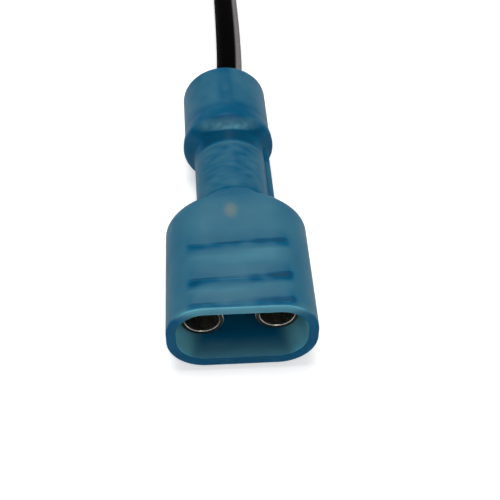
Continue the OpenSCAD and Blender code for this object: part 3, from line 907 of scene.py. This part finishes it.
class TERMINAL_OT_receptacle(bpy.types.Operator):
    """Makes the folded receptacle: base with a detent, rolled edges, channel and barrel"""

    bl_idname = "terminal.receptacle"
    bl_label = "Receptacle"

    def execute(self, context):
        z, finishes = context.scene.terminal_sheet, context.scene.terminal_finishes
        swing = context.scene.terminal_housing.rear_swing
        width, front = z.sheet_w, MOUTH_Y + z.recess
        base_v = z.roll_d / 2 - z.sheet_t / 2
        mid_r = (z.roll_d - z.sheet_t) / 2
        reach = width / 2 - z.bend_r
        bm = bmesh.new()
        # Half of the sheet's middle line, seen from the mouth
        start = bmesh.ops.create_vert(bm, co=(0, front, AXIS_Z + base_v))["vert"][0]
        chain, rows = [start], 20
        for k in range(1, rows + 1):
            chain.append(self.longer(bm, chain[-1], Vector((reach * k / rows, front, AXIS_Z + base_v))))
        bend = Vector((reach, front, AXIS_Z + z.roll_d / 2 - z.bend_r))
        chain += self.turn(bm, chain[-1], bend, pi / 2, 10)
        chain.append(self.longer(bm, chain[-1], Vector((width / 2 - z.sheet_t / 2, front, AXIS_Z))))
        roll = Vector((width / 2 - z.roll_d / 2, front, AXIS_Z))
        rise = z.roll_d / 2 - z.sheet_t - z.slot_h
        chain += self.turn(bm, chain[-1], roll, pi + asin(rise / mid_r), 36)
        # The other half, joined along the middle
        half = list(bm.verts) + list(bm.edges)
        bmesh.ops.mirror(bm, geom=half, axis="X", merge_dist=1e-6)
        bmesh.ops.remove_doubles(bm, verts=bm.verts, dist=1e-6)

        # Back along the rolls
        edges, steps = list(bm.edges), 40
        for k in range(steps):
            made = bmesh.ops.extrude_edge_only(bm, edges=edges)["geom"]
            bmesh.ops.translate(
                bm, vec=(0, z.roll_l / steps, 0),
                verts=[v for v in made if isinstance(v, bmesh.types.BMVert)],
            )
            edges = [e for e in made if isinstance(e, bmesh.types.BMEdge)
                     and abs(e.verts[0].co.y - e.verts[1].co.y) < 1e-7]
        self.detent(bm, z, front, base_v)

        # The base alone goes on, closes to a tube and becomes the barrel
        edges = [e for e in edges if all(
            abs(v.co.z - AXIS_Z - base_v) < 1e-6 and abs(v.co.x) < reach + 1e-6 for v in e.verts)]
        shares = {v: v.co.x / reach for e in edges for v in e.verts}
        rolls_end = front + z.roll_l
        barrel_y = MOUTH_Y + THROAT_S
        barrel_end = MOUTH_Y + z.barrel_end_s
        mid = (z.barrel_d - z.sheet_t) / 2
        arc = 2 * pi * mid - z.seam_gap
        places = [rolls_end + (barrel_y - rolls_end) * k / 16 for k in range(1, 17)]
        places += [barrel_y + (barrel_end - barrel_y) * k / 12 for k in range(1, 13)]
        for y in places:
            made = bmesh.ops.extrude_edge_only(bm, edges=edges)["geom"]
            fresh = {v for v in made if isinstance(v, bmesh.types.BMVert)}
            after = {}
            for v, share in shares.items():
                new = next(e.other_vert(v) for e in v.link_edges if e.other_vert(v) in fresh)
                after[new] = share
                k = ease(rolls_end, barrel_y, y)
                closed = k ** 0.8
                radius = mid / max(closed, 1e-3)
                length = 2 * reach + (arc - 2 * reach) * k
                a = share * length / 2 / radius
                top = base_v + (mid - base_v) * k
                new.co = (radius * sin(a), y, AXIS_Z + top - radius * (1 - cos(a)))
            shares = after
            edges = [e for e in made if isinstance(e, bmesh.types.BMEdge)
                     and all(v in after for v in e.verts)]
        # The set that the crimp leaves: rolls turned and swung one way, barrel swung with the neck
        axis = Vector((0, 0, AXIS_Z))
        for v in bm.verts:
            k = ease(rolls_end, barrel_y, v.co.y)
            v.co = swung(v.co, swing * k - z.front_swing * (1 - k))
            v.co = Matrix.Rotation(-z.roll_set * (1 - k), 3, "Y") @ (v.co - axis) + axis
        bmesh.ops.recalc_face_normals(bm, faces=bm.faces)
        sheet = finish_mesh(bm, "receptacle_sheet", outward=False)
        wall = sheet.modifiers.new("sheet", "SOLIDIFY")
        wall.thickness = z.sheet_t
        wall.offset = 0
        wall.use_even_offset = True
        soft = sheet.modifiers.new("cut_edges", "BEVEL")
        soft.width = z.edge_soft
        soft.segments = 3
        soft.limit_method = "ANGLE"
        soft.angle_limit = radians(50)
        # Brass sheet, tin plated and stamped: bright, and dull on its bare cut face, whose near-black colour
        # is painted shade
        dull_and_shaded_cut_colour = tuple(0.06 * v for v in finishes.tin)
        sheet.data.materials.append(worked_metal("tin_plated_brass_sheet", finishes.tin, 0.18, 0.3))
        sheet.data.materials.append(worked_metal("sheared_cut_edge", dull_and_shaded_cut_colour, 0.45, 0.6))
        wall.material_offset_rim = 1
        soft.material = 0
        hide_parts("receptacle")
        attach(sheet, "root")

        # The two pieces that the nylon hides keep their CAD shapes
        for name, finish in (
            ("support_sleeve", worked_metal("drawn_brass_sleeve", finishes.brass, 0.25, 0.4)),
            ("conductor", worked_metal("tinned_copper_bundle", finishes.copper, 0.3, 0.5)),
        ):
            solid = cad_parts[name]
            solid.data.materials.clear()
            solid.data.materials.append(finish)
        return {"FINISHED"}

    def longer(self, bm, vertex, place):
        """Adds one edge to the end of a chain."""
        made = bmesh.ops.extrude_vert_indiv(bm, verts=[vertex])["verts"][0]
        made.co = place
        return made

    def turn(self, bm, vertex, middle, angle, steps):
        """Carries the end of a chain round a middle, clockwise as seen from the mouth."""
        before = set(bm.verts)
        bmesh.ops.spin(
            bm, geom=[vertex], cent=middle, axis=(0, 1, 0), dvec=(0, 0, 0), angle=angle, steps=steps,
            use_merge=False, use_normal_flip=False, use_duplicate=False,
        )
        chain, last, left = [], vertex, set(bm.verts) - before
        while left:
            last = next(e.other_vert(last) for e in last.link_edges if e.other_vert(last) in left)
            left.remove(last)
            chain.append(last)
        return chain

    def detent(self, bm, z, front, base_v):
        """Presses the ball-shaped detent down into the base."""
        middle = front + z.roll_l / 2
        ball = z.detent_r - z.sheet_t / 2
        for v in bm.verts:
            if abs(v.co.z - AXIS_Z - base_v) > 1e-6:
                continue
            off = hypot(v.co.x, v.co.y - middle)
            low = z.detent_h - ball + sqrt(max(0, ball ** 2 - off ** 2)) if off < ball else 0
            v.co.z -= max(0, low)


class TERMINAL_PT_panel(bpy.types.Panel):
    """Lists the steps and the sizes of the terminal"""

    bl_label = "Female Spade Terminal"
    bl_idname = "TERMINAL_PT_panel"
    bl_space_type = "VIEW_3D"
    bl_region_type = "UI"
    bl_category = "Terminal"

    def draw(self, context):
        column = self.layout.column()
        for step in STEPS:
            column.operator(step.bl_idname)
        for name in SETTINGS:
            group = getattr(context.scene, name)
            box = self.layout.box()
            for key in group.bl_rna.properties.keys():
                if key not in ("rna_type", "name"):
                    box.prop(group, key)


SETTINGS = {
    "terminal_housing": HousingSizes,
    "terminal_sheet": SheetSizes,
    "terminal_wire": WireSizes,
    "terminal_finishes": Finishes,
}
STEPS = (TERMINAL_OT_stage, TERMINAL_OT_wire, TERMINAL_OT_housing, TERMINAL_OT_receptacle)
CLASSES = (*SETTINGS.values(), *STEPS, TERMINAL_PT_panel)


def register():
    for cls in CLASSES:
        bpy.utils.register_class(cls)
    for name, group in SETTINGS.items():
        setattr(bpy.types.Scene, name, bpy.props.PointerProperty(type=group))


def unregister():
    for name in SETTINGS:
        delattr(bpy.types.Scene, name)
    for cls in reversed(CLASSES):
        bpy.utils.unregister_class(cls)


def main():
    register()
    bpy.ops.terminal.stage()
    bpy.ops.terminal.wire()
    bpy.ops.terminal.housing()
    bpy.ops.terminal.receptacle()
    bpy.context.view_layer.update()


if __name__ == "__main__":
    main()
